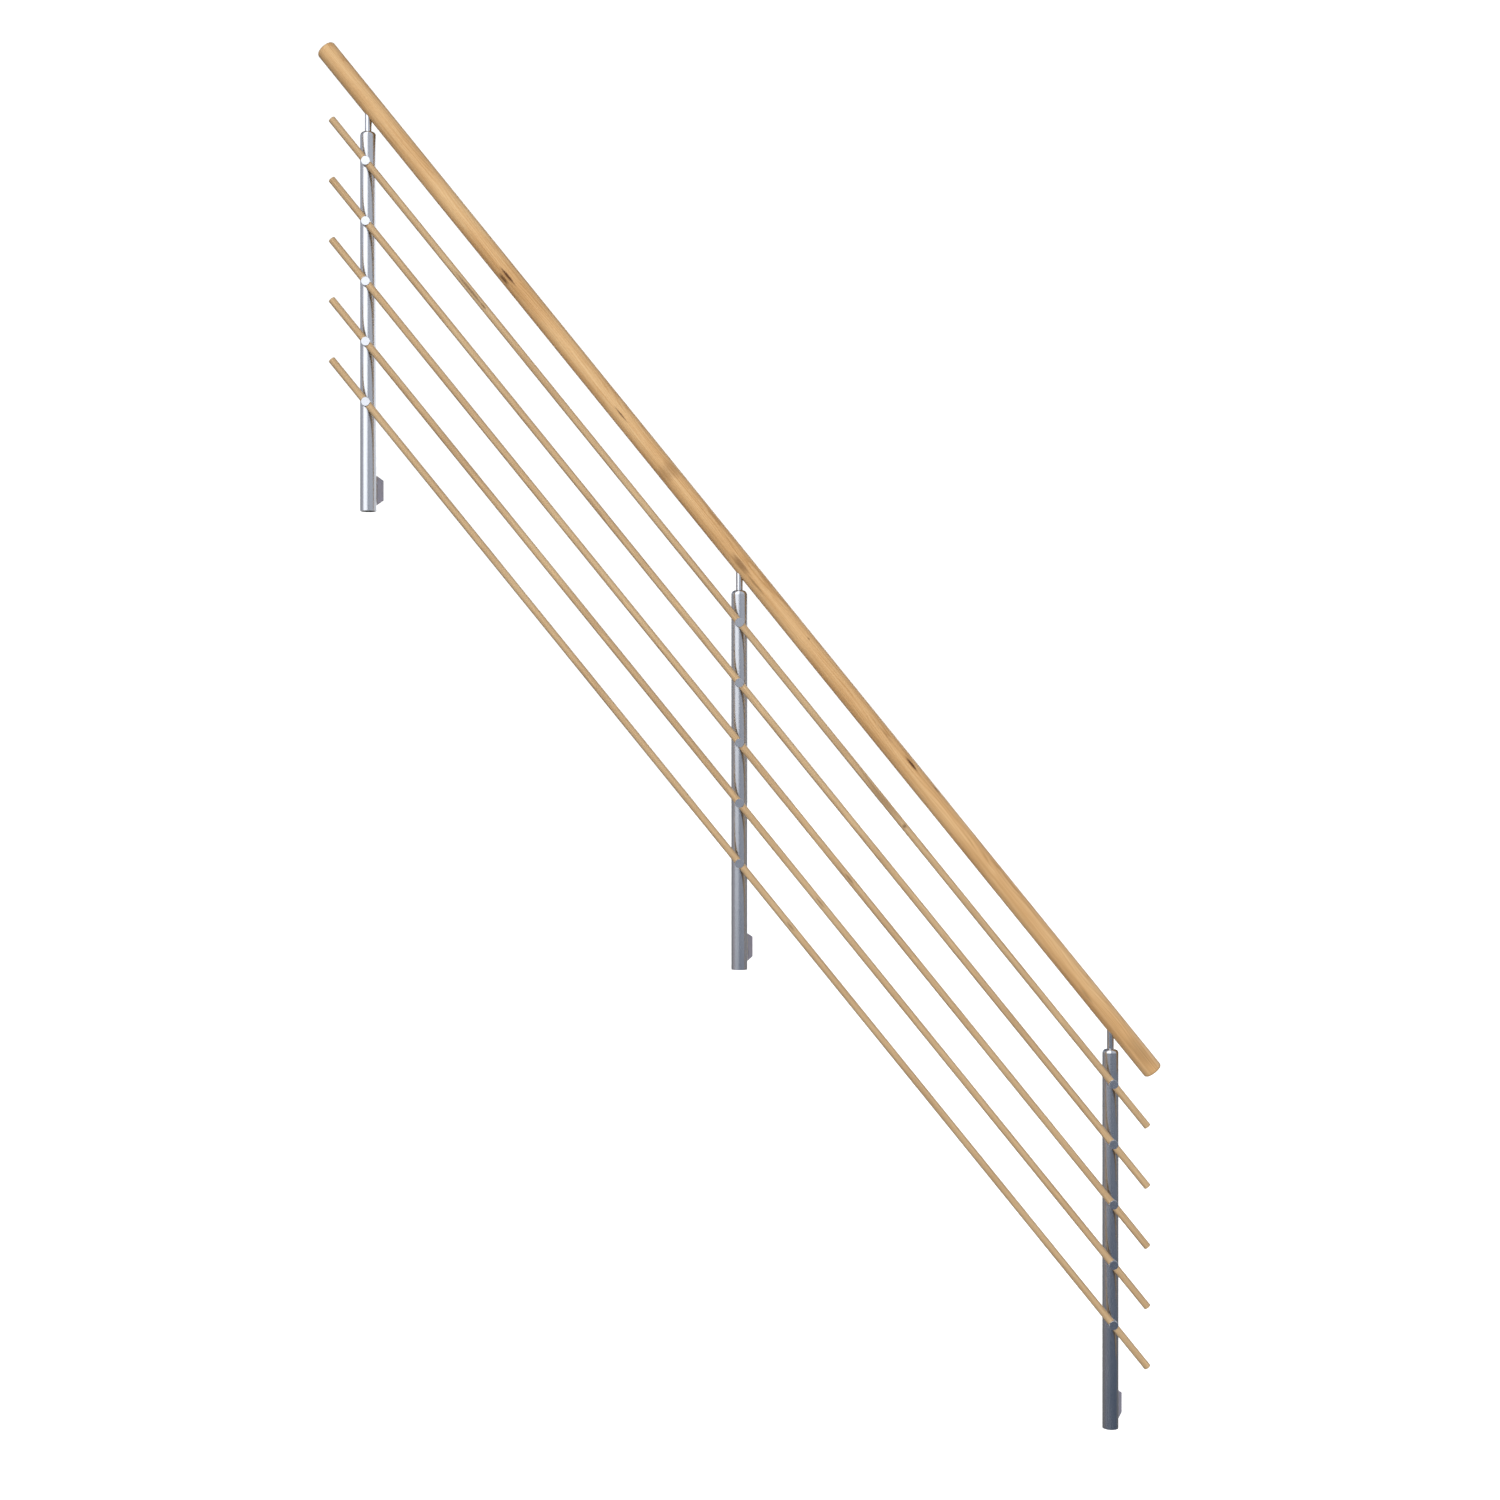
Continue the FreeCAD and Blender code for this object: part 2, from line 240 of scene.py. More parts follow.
class BalustradeFixings(bpy.types.PropertyGroup):
    """Sizes of the grub screws and the weld beads."""
    screw_radius: FloatProperty(
        name="Screw radius", description="Outside of a grub screw",
        unit="LENGTH", default=2.5 * MM)
    screw_proud: FloatProperty(
        name="Screw proud", description="How far a grub screw stands out of its holder",
        unit="LENGTH", default=0.5 * MM)
    socket_width: FloatProperty(
        name="Socket width", description="Across the flats of the hexagon socket",
        unit="LENGTH", default=2.5 * MM)
    bead_radius: FloatProperty(
        name="Bead radius", description="Half the width of a weld bead",
        unit="LENGTH", default=2.4 * MM)
    ripple: FloatProperty(
        name="Weld ripple", description="Distance between the ripples of a weld bead",
        unit="LENGTH", default=2.2 * MM)


class BalustradeStage(bpy.types.PropertyGroup):
    """Camera and light of the studio."""
    eye: FloatVectorProperty(
        name="Camera place", description="Where the camera stands",
        subtype="TRANSLATION", default=(-1.0316, -5.1603, 1.6151))
    view_angle: FloatProperty(
        name="View angle", description="The camera's field of view",
        subtype="ANGLE", default=math.radians(39.6))
    side_shift: FloatProperty(
        name="Side shift", description="Sideways shift of the lens, as a share of the picture's width",
        default=0.033)
    floor: FloatVectorProperty(
        name="Floor", description="Pale studio floor",
        subtype="COLOR", min=0, max=1, default=linear("#F7F7F7"))
    sky: FloatVectorProperty(
        name="Upper room", description="Grey room above eye level, as the steel mirrors it",
        subtype="COLOR", min=0, max=4, default=(0.52, 0.55, 0.63))
    ground: FloatVectorProperty(
        name="Lower room", description="Dark blue-grey room below eye level, as the steel mirrors it",
        subtype="COLOR", min=0, max=4, default=(0.03, 0.06, 0.115))
    near_floor: FloatVectorProperty(
        name="Near floor", description="Pale floor at the panel's foot, as the steel mirrors it",
        subtype="COLOR", min=0, max=4, default=(0.45, 0.45, 0.46))
    back: FloatVectorProperty(
        name="Far room", description="Warm grey room behind the panel, as the steel mirrors it",
        subtype="COLOR", min=0, max=4, default=(0.30, 0.28, 0.26))
    doorway: FloatVectorProperty(
        name="Doorway", description="Bright opening straight behind the panel, as the steel mirrors it",
        subtype="COLOR", min=0, max=4, default=(1.1, 1.12, 1.15))
    wood_glow: FloatVectorProperty(
        name="Wood glow", description="Warm wood low at the left, as the steel mirrors it",
        subtype="COLOR", min=0, max=4, default=(0.36, 0.27, 0.22))
    right_wall: FloatVectorProperty(
        name="Right wall", description="What the right wall adds above eye level, as the steel mirrors it",
        subtype="COLOR", min=0, max=4, default=(0.26, 0.26, 0.26))
    window: FloatProperty(
        name="Window", description="Strength of the tall soft window at the front left",
        min=0, default=1.6)
    ambient: FloatProperty(
        name="Ambient", description="Even light from all sides",
        min=0, default=0.13)
    bounce: FloatProperty(
        name="Bounce", description="Light that the backdrop throws back on the panel",
        min=0, default=3.2)
    key_place: FloatVectorProperty(
        name="Key place", description="Where the large key light hangs",
        subtype="TRANSLATION", default=(-0.56, -11.95, 2.55))
    key_power: FloatProperty(
        name="Key power", description="Power of the key light",
        unit="POWER", default=1385)
    key_size: FloatProperty(
        name="Key size", description="Width of the square key light",
        unit="LENGTH", default=6.0)


def add(tree, kind, sockets=(), **settings):
    """Adds a node with its settings, and fills its sockets with links or plain values."""
    node = tree.nodes.new(kind)
    for name, value in settings.items():
        setattr(node, name, value)
    for name, value in dict(sockets).items():
        if isinstance(value, bpy.types.NodeSocket):
            tree.links.new(value, node.inputs[name])
        else:
            node.inputs[name].default_value = value
    return node


def new_material(name):
    """Starts a material: gives its tree, its shader and the object coordinates."""
    material = bpy.data.materials.new(name)
    material.use_nodes = True
    tree = material.node_tree
    shader = tree.nodes["Principled BSDF"]
    coords = add(tree, "ShaderNodeTexCoord").outputs["Object"]
    return material, tree, shader, coords


def link_shader(tree, shader, **sockets):
    """Links values to a shader's sockets, named with an underscore for each space."""
    for name, value in sockets.items():
        tree.links.new(value, shader.inputs[name.replace("_", " ")])


def stretched_noise(tree, vector, cell, detail):
    """Noise whose cells have the given size along each axis of a vector, in metres."""
    scaled = add(tree, "ShaderNodeVectorMath", {0: vector, 1: [1 / size for size in cell]},
                 operation="MULTIPLY")
    noise = add(tree, "ShaderNodeTexNoise", {"Vector": scaled.outputs[0], "Scale": 1.0, "Detail": detail})
    return noise.outputs["Fac"]


def lacquered_oak(name, node, marks, paleness, wood):
    """Turned oak under clear satin lacquer.

    The eye sees warm tan with thin darker growth lines along the bar, pale ray flecks, slow changes of
    tone, a few brown knots and streaks, rings on the cut ends, and a soft sheen from the lacquer.
    """
    material, tree, shader, coords = new_material(name)
    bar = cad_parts[node]
    along = [vertex.co.dot(DOWN_STAIR) for vertex in bar.data.vertices]
    axis = middle(node)
    place = add(tree, "ShaderNodeMapping", {
        "Vector": coords,
        "Rotation": (0, -PITCH, 0),
        "Location": (-min(along), -axis.y, -axis.dot(ACROSS)),
    }).outputs["Vector"]

    # Growth rings round a pith beside the bar, wandering along it
    drift = add(tree, "ShaderNodeVectorMath", {0: place, 1: RING_DRIFT}, operation="MULTIPLY")
    drift = add(tree, "ShaderNodeTexNoise", {"Vector": drift.outputs[0], "Scale": 1.0, "Detail": 2.0})
    wander = add(tree, "ShaderNodeVectorMath", {0: drift.outputs["Color"], 1: RING_WANDER, 2: place},
                 operation="MULTIPLY_ADD")
    from_pith = add(tree, "ShaderNodeVectorMath", {0: wander.outputs[0], 1: (0, 1, 1), 2: FROM_PITH},
                    operation="MULTIPLY_ADD")
    radius = add(tree, "ShaderNodeVectorMath", {0: from_pith.outputs[0]}, operation="LENGTH")
    rings = add(tree, "ShaderNodeMath", {0: radius.outputs["Value"], 1: 1 / wood.ring},
                operation="MULTIPLY")
    rings = add(tree, "ShaderNodeMath", {0: rings.outputs[0], 1: 1.0, 2: 0.0}, operation="WRAP")
    late = add(tree, "ShaderNodeMapRange", {"Value": rings.outputs[0], "From Min": 0.35, "From Max": 1.0},
               interpolation_type="SMOOTHSTEP").outputs[0]

    fibre = stretched_noise(tree, place, (90 * MM, 1.6 * MM, 1.6 * MM), 2.0)
    streak = stretched_noise(tree, place, (260 * MM, 7 * MM, 7 * MM), 3.0)
    patch = stretched_noise(tree, place, (330 * MM, 120 * MM, 120 * MM), 2.0)
    fleck = stretched_noise(tree, place, (55 * MM, 5 * MM, 5 * MM), 1.0)
    pore = stretched_noise(tree, place, (14 * MM, 0.5 * MM, 0.5 * MM), 1.0)

    # Tone from the layers, each round its own middle
    tone = None
    for layer, weight in ((late, -0.22), (fibre, 0.3), (streak, 0.75), (patch, 0.8)):
        share = add(tree, "ShaderNodeMath", {0: layer, 1: weight, 2: -0.5 * weight},
                    operation="MULTIPLY_ADD").outputs[0]
        start = 0.5 if tone is None else tone
        tone = add(tree, "ShaderNodeMath", {0: share, 1: start}, operation="ADD").outputs[0]
    ramp = add(tree, "ShaderNodeValToRGB", {"Fac": tone})
    ramp.color_ramp.elements.new(0.5)
    for element, colour, position in zip(ramp.color_ramp.elements, (wood.dark, wood.mid, wood.light),
                                         (0.15, 0.5, 0.85)):
        element.color = opaque(colour)
        element.position = position
    colour = add(tree, "ShaderNodeMix", {
        "Factor": paleness, 6: ramp.outputs["Color"], 7: opaque(wood.pale)}, data_type="RGBA").outputs[2]

    fleck_mask = add(tree, "ShaderNodeMapRange", {
        "Value": fleck, "From Min": 0.62, "From Max": 0.78, "To Max": 0.55}).outputs[0]
    colour = add(tree, "ShaderNodeMix", {"Factor": fleck_mask, 6: colour, 7: opaque(wood.light)},
                 data_type="RGBA").outputs[2]

    # Knots and streaks, each with a ragged edge
    ragged = add(tree, "ShaderNodeMath", {0: streak, 1: 1.1, 2: -0.55}, operation="MULTIPLY_ADD")
    darkness = None
    for distance, across, length, width, depth in marks:
        centre = (distance * MM, 0, across * MM)
        offset = add(tree, "ShaderNodeVectorMath", {0: place, 1: centre}, operation="SUBTRACT")
        scaled = add(tree, "ShaderNodeVectorMath",
                     {0: offset.outputs[0], 1: (2 / (length * MM), 0, 2 / (width * MM))},
                     operation="MULTIPLY")
        reach = add(tree, "ShaderNodeVectorMath", {0: scaled.outputs[0]}, operation="LENGTH")
        reach = add(tree, "ShaderNodeMath", {0: reach.outputs["Value"], 1: ragged.outputs[0]},
                    operation="ADD")
        mask = add(tree, "ShaderNodeMapRange", {
            "Value": reach.outputs[0], "From Min": 0.25, "From Max": 1.15,
            "To Min": depth, "To Max": 0.0}, interpolation_type="SMOOTHSTEP").outputs[0]
        if darkness is not None:
            mask = add(tree, "ShaderNodeMath", {0: darkness, 1: mask}, operation="MAXIMUM").outputs[0]
        darkness = mask
    colour = add(tree, "ShaderNodeMix", {"Factor": darkness, 6: colour, 7: opaque(wood.mark)},
                 data_type="RGBA").outputs[2]

    # Open pores: thin dark dashes, finer than a pixel of the main view and plain close to
    pore_mask = add(tree, "ShaderNodeMapRange", {
        "Value": pore, "From Min": 0.63, "From Max": 0.72, "To Max": 0.25}).outputs[0]
    colour = add(tree, "ShaderNodeMix", {"Factor": pore_mask, 6: colour, 7: opaque(wood.dark)},
                 data_type="RGBA").outputs[2]

    rough = add(tree, "ShaderNodeMapRange", {
        "Value": streak, "To Min": wood.roughness - 0.08, "To Max": wood.roughness + 0.08}).outputs[0]
    relief = add(tree, "ShaderNodeMath", {0: fibre, 1: pore_mask}, operation="SUBTRACT")
    bump = add(tree, "ShaderNodeBump",
               {"Height": relief.outputs[0], "Strength": 0.12, "Distance": 0.15 * MM})
    link_shader(tree, shader, Base_Color=colour, Roughness=rough, Normal=bump.outputs["Normal"])
    shader.inputs["Coat Weight"].default_value = 0.1
    shader.inputs["Coat Roughness"].default_value = 0.22
    shader.inputs["Specular IOR Level"].default_value = 0.3
    return material


def ground_steel(name, cell, roughness, spread, steel, shaded_bore=0.0):
    """Stainless steel with fine lines from grinding or turning.

    The eye sees a clear but slightly streaked mirror: bright and dark bands of the studio, softened along
    the lines, and a faint cloudiness. The lines are drawn a few times coarser than real ones, or they
    would not show at all. Within the bore's radius of a post's axis the colour is painted dark, as painted
    shade down the inside of the tube.
    """
    material, tree, shader, coords = new_material(name)
    lines = stretched_noise(tree, coords, cell, 3.0)
    cloud = stretched_noise(tree, coords, (45 * MM, 45 * MM, 130 * MM), 3.0)
    colour = add(tree, "ShaderNodeMix", {
        "Factor": cloud, 6: opaque(steel.tube_dark), 7: opaque(steel.tube)}, data_type="RGBA").outputs[2]
    uneven = add(tree, "ShaderNodeMath", {0: lines, 1: cloud}, operation="ADD")
    rough = add(tree, "ShaderNodeMapRange", {
        "Value": uneven.outputs[0], "From Min": NOISE_SUM_LOW, "From Max": NOISE_SUM_HIGH,
        "To Min": roughness - spread, "To Max": roughness + spread}).outputs[0]
    # Painted shade: within the bore's radius of a post's axis the colour turns near-black, as shade down the
    # tube
    if shaded_bore:
        # All posts are brought to the lower one, since they stand a bay apart
        half = Vector((abs(BAY.x) / 2, 1, 1))
        nearest = add(tree, "ShaderNodeVectorMath", {
            0: coords, 1: LOWER_POST + half, 2: LOWER_POST - half}, operation="WRAP").outputs[0]
        flat = add(tree, "ShaderNodeVectorMath", {
            0: nearest, 1: (1, 1, 0), 2: (-LOWER_POST.x, -LOWER_POST.y, 0)},
            operation="MULTIPLY_ADD").outputs[0]
        radius = add(tree, "ShaderNodeVectorMath", {0: flat}, operation="LENGTH").outputs["Value"]
        inside = add(tree, "ShaderNodeMapRange", {
            "Value": radius, "From Min": shaded_bore + 0.7 * MM, "From Max": shaded_bore + 0.2 * MM}).outputs[0]
        colour = add(tree, "ShaderNodeMix", {
            "Factor": inside, 6: colour, 7: opaque(steel.shaded_bore)}, data_type="RGBA").outputs[2]
    bump = add(tree, "ShaderNodeBump", {"Height": lines, "Strength": 0.2, "Distance": 0.006 * MM})
    link_shader(tree, shader, Base_Color=colour, Roughness=rough, Normal=bump.outputs["Normal"])
    shader.inputs["Metallic"].default_value = 1.0
    return material


def blasted_steel(steel):
    """Steel block blasted with glass beads: an even dull grey with a fine grain and no clear reflection."""
    material, tree, shader, coords = new_material("stainless_steel_bead_blasted")
    grain = stretched_noise(tree, coords, (0.6 * MM,) * 3, 2.0)
    cloud = stretched_noise(tree, coords, (18 * MM,) * 3, 3.0)
    colour = add(tree, "ShaderNodeMix", {
        "Factor": cloud, 6: opaque(steel.plate), 7: opaque(steel.tube_dark)}, data_type="RGBA").outputs[2]
    uneven = add(tree, "ShaderNodeMath", {0: grain, 1: cloud}, operation="ADD").outputs[0]
    spread = 0.07
    rough = add(tree, "ShaderNodeMapRange", {
        "Value": uneven, "From Min": NOISE_SUM_LOW, "From Max": NOISE_SUM_HIGH,
        "To Min": steel.plate_roughness - spread, "To Max": steel.plate_roughness + spread}).outputs[0]
    bump = add(tree, "ShaderNodeBump", {"Height": grain, "Strength": 0.3, "Distance": 0.03 * MM})
    link_shader(tree, shader, Base_Color=colour, Roughness=rough, Normal=bump.outputs["Normal"])
    shader.inputs["Metallic"].default_value = 1.0
    return material


def weld_metal(steel):
    """Steel weld, brushed clean: pale dull ripples, with a trace of straw heat tint in patches."""
    material, tree, shader, coords = new_material("steel_weld_bead")
    tint = stretched_noise(tree, coords, (6 * MM, 6 * MM, 9 * MM), 3.0)
    grain = stretched_noise(tree, coords, (0.5 * MM,) * 3, 2.0)
    tint = add(tree, "ShaderNodeMapRange", {"Value": tint, "From Min": 0.35, "From Max": 0.7}).outputs[0]
    colour = add(tree, "ShaderNodeMix", {
        "Factor": tint, 6: opaque(steel.tube), 7: opaque(steel.tint)}, data_type="RGBA").outputs[2]
    rough = add(tree, "ShaderNodeMapRange", {"Value": grain, "To Min": 0.35, "To Max": 0.6}).outputs[0]
    bump = add(tree, "ShaderNodeBump", {"Height": grain, "Strength": 0.3, "Distance": 0.05 * MM})
    link_shader(tree, shader, Base_Color=colour, Roughness=rough, Normal=bump.outputs["Normal"])
    shader.inputs["Metallic"].default_value = 1.0
    return material


def moulded_plastic(steel):
    """Black polyethylene from a spark-eroded mould: an even fine grain, dull even in a raking view."""
    material, tree, shader, coords = new_material("polyethylene_moulded_black")
    grain = stretched_noise(tree, coords, (0.6 * MM,) * 3, 2.0)
    flow = stretched_noise(tree, coords, (14 * MM,) * 3, 2.0)
    paler = tuple(1.6 * part for part in steel.plug)
    colour = add(tree, "ShaderNodeMix", {
        "Factor": flow, 6: opaque(steel.plug), 7: opaque(paler)}, data_type="RGBA").outputs[2]
    rough = add(tree, "ShaderNodeMapRange", {"Value": grain, "To Min": 0.45, "To Max": 0.65}).outputs[0]
    bump = add(tree, "ShaderNodeBump", {"Height": grain, "Strength": 0.35, "Distance": 0.06 * MM})
    link_shader(tree, shader, Base_Color=colour, Roughness=rough, Normal=bump.outputs["Normal"])
    shader.inputs["Specular IOR Level"].default_value = 0.06
    return material


def finish_nodes(material, names):
    """Gives the named nodes of the pack a material."""
    for name in names:
        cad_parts[name].data.materials[0] = material


def deselect():
    bpy.ops.object.select_all(action="DESELECT")


def select_only(piece):
    """Selects one piece and makes it the active one."""
    deselect()
    piece.select_set(True)
    bpy.context.view_layer.objects.active = piece


def apply_place(piece):
    """Puts a piece's place into its mesh, so that its object sits at the origin."""
    select_only(piece)
    bpy.ops.object.transform_apply(location=True, rotation=True, scale=True)


def select_edges(piece, test):
    """Opens a piece in edit mode with the edges selected whose two ends pass a test."""
    select_only(piece)
    bpy.ops.object.mode_set(mode="EDIT")
    bpy.ops.mesh.select_mode(type="EDGE")
    bpy.ops.mesh.select_all(action="DESELECT")
    bpy.ops.object.mode_set(mode="OBJECT")
    points = piece.data.vertices
    for edge in piece.data.edges:
        edge.select = all(test(points[index].co) for index in edge.vertices)
    bpy.ops.object.mode_set(mode="EDIT")


def add_copy(pattern, name, shift):
    """Copies a finished piece with its own mesh, moved by a shift."""
    select_only(pattern)
    bpy.ops.object.duplicate(linked=False)
    piece = bpy.context.object
    piece.name = piece.data.name = name
    bpy.ops.transform.translate(value=shift)
    apply_place(piece)
    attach(piece, "root")
    return piece


class BALUSTRADE_OT_wood(bpy.types.Operator):
    """Lacquers the handrail and the five rods"""
    bl_idname = "balustrade.wood"
    bl_label = "Lacquer the wood"

    def execute(self, context):
        wood = context.scene.balustrade_wood
        rail = lacquered_oak("oak_lacquered_rail", "handrail", RAIL_MARKS, 0.0, wood)
        rods = lacquered_oak("oak_lacquered_rod", "rod_1", ROD_MARKS, wood.rod_paleness, wood)
        finish_nodes(rail, ["handrail"])
        finish_nodes(rods, [f"rod_{number}" for number in RODS])
        return {"FINISHED"}


class BALUSTRADE_OT_posts(bpy.types.Operator):
    """Grinds the tubes, turns the caps, pins and holders, and blasts the foot brackets"""
    bl_idname = "balustrade.posts"
    bl_label = "Finish the posts"

    def execute(self, context):
        steel = context.scene.balustrade_steel
        up_the_tube = (steel.grind, steel.grind, 220 * MM)
        round_the_cap = (40 * MM, 40 * MM, 0.5 * MM)
        round_the_holder = (9 * MM, 0.5 * MM, 9 * MM)
        tube = ground_steel("stainless_steel_ground_tube", up_the_tube, steel.roughness, 0.03, steel,
                            shaded_bore=BORE_RADIUS)
        cap = ground_steel("stainless_steel_turned_cap", round_the_cap, steel.cap_roughness, 0.03, steel)
        holder = ground_steel("stainless_steel_turned_holder", round_the_holder, steel.holder_roughness,
                              0.04, steel)
        finish_nodes(tube, [f"{post}_post_tube" for post in POSTS])
        finish_nodes(cap, [f"{post}_{part}" for post in POSTS for part in ("post_cap", "rail_pin")])
        finish_nodes(holder, [f"{post}_holder_{number}" for post in POSTS for number in RODS])
        finish_nodes(blasted_steel(steel), [f"{post}_foot_bracket" for post in POSTS])
        return {"FINISHED"}


class BALUSTRADE_OT_plugs(bpy.types.Operator):
    """Gives the foot plugs their moulded plastic"""
    bl_idname = "balustrade.plugs"
    bl_label = "Finish the foot plugs"

    def execute(self, context):
        finish_nodes(moulded_plastic(context.scene.balustrade_steel),
                     [f"{post}_foot_plug" for post in POSTS])
        return {"FINISHED"}


class BALUSTRADE_OT_screws(bpy.types.Operator):
    """Sets a hexagon socket grub screw into the underside of each rod holder"""
    bl_idname = "balustrade.screws"
    bl_label = "Set the grub screws"

    def execute(self, context):
        sizes = context.scene.balustrade_fixings
        steel = context.scene.balustrade_steel
        low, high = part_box("lower_holder_1")
        holder_radius = (high.z - low.z) / 2
        bury = 1.0 * MM
        bevel = 0.3 * MM
        tolerance = 0.01 * MM
        grain = (0.4 * MM,) * 3
        length = bury + sizes.screw_proud
        deselect()
        bpy.ops.mesh.primitive_cylinder_add(vertices=32, radius=sizes.screw_radius, depth=length)
        screw = bpy.context.object
        top = length / 2
        select_edges(screw, lambda point: point.z > top - tolerance)
        bpy.ops.mesh.bevel(offset=bevel, segments=3)
        bpy.ops.object.mode_set(mode="OBJECT")
        deselect()
        bpy.ops.mesh.primitive_cylinder_add(
            vertices=6, radius=sizes.socket_width / math.sqrt(3), depth=2 * sizes.screw_proud,
            location=(0, 0, top + 0.2 * sizes.screw_proud))
        socket = bpy.context.object
        select_only(screw)
        cut = screw.modifiers.new("socket", "BOOLEAN")
        cut.object = socket
        cut.operation = "DIFFERENCE"
        bpy.ops.object.modifier_apply(modifier=cut.name)
        select_only(socket)
        bpy.ops.object.delete()
        select_only(screw)
        bpy.ops.object.shade_smooth_by_angle(angle=math.radians(30))
        screw.data.materials.append(
            ground_steel("stainless_steel_grub_screw", grain, steel.holder_roughness, 0.06, steel))

        # The first one goes under the top holder of the lower post, square to the rod
        first = middle("lower_holder_1")
        first.y = middle("rod_1").y
        screw.rotation_euler = (-ACROSS).to_track_quat("Z", "Y").to_euler()
        screw.location = first - ACROSS * (holder_radius + sizes.screw_proud - length / 2)
        apply_place(screw)
        for post in POSTS:
            for number in RODS:
                place = middle(f"{post}_holder_{number}")
                place.y = first.y
                add_copy(screw, f"{post}_grub_screw_{number}", place - first)
        select_only(screw)
        bpy.ops.object.delete()
        return {"FINISHED"}


class BALUSTRADE_OT_welds(bpy.types.Operator):
    """Lays a rippled weld bead along both seams between each bracket and its tube"""
    bl_idname = "balustrade.welds"
    bl_label = "Lay the weld beads"

    def execute(self, context):
        sizes = context.scene.balustrade_fixings
        tube_low, tube_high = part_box("lower_post_tube")
        low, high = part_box("lower_foot_bracket")
        axis = middle("lower_post_tube")
        tube_radius = (tube_high.x - tube_low.x) / 2
        weld = weld_metal(context.scene.balustrade_steel)
        flatness = 0.62
        voxel = 0.3 * MM

        def seam_x(y):
            return axis.x + math.sqrt(tube_radius ** 2 - (y - axis.y) ** 2)

        def seam_y(x):
            return axis.y + math.sqrt(tube_radius ** 2 - (x - axis.x) ** 2)

        # The front bead lies on the corner of bracket and tube, and the back one is sunk a little into it
        front = Vector((seam_x(low.y), low.y, 0))
        back_x = low.x - 0.4 * sizes.bead_radius
        back = Vector((back_x, seam_y(back_x) - 0.2 * sizes.bead_radius, 0))
        run = (high.z - low.z) - 4 * sizes.bead_radius
        count = round(run / sizes.ripple)
        for seam, place in (("front", front), ("back", back)):
            deselect()
            bpy.ops.mesh.primitive_uv_sphere_add(
                segments=24, ring_count=12, radius=sizes.bead_radius,
                location=(0, 0, 0), rotation=(0, 0, 0))
            bead = bpy.context.object
            bead.scale = (1, 1, flatness)
            apply_place(bead)
            row = bead.modifiers.new("ripples", "ARRAY")
            row.count = count
            row.use_relative_offset = False
            row.use_constant_offset = True
            row.constant_offset_displace = (0, 0, sizes.ripple)
            fuse = bead.modifiers.new("fuse", "REMESH")
            fuse.mode = "VOXEL"
            fuse.voxel_size = voxel
            fuse.use_smooth_shade = True
            for modifier in (row, fuse):
                bpy.ops.object.modifier_apply(modifier=modifier.name)
            bead.data.materials.clear()
            bead.data.materials.append(weld)
            bead.location = place + Vector((0, 0, (low.z + high.z) / 2 - (count - 1) * sizes.ripple / 2))
            apply_place(bead)
            for step, post in enumerate(POSTS):
                add_copy(bead, f"{post}_weld_{seam}", BAY * step)
            select_only(bead)
            bpy.ops.object.delete()
        return {"FINISHED"}


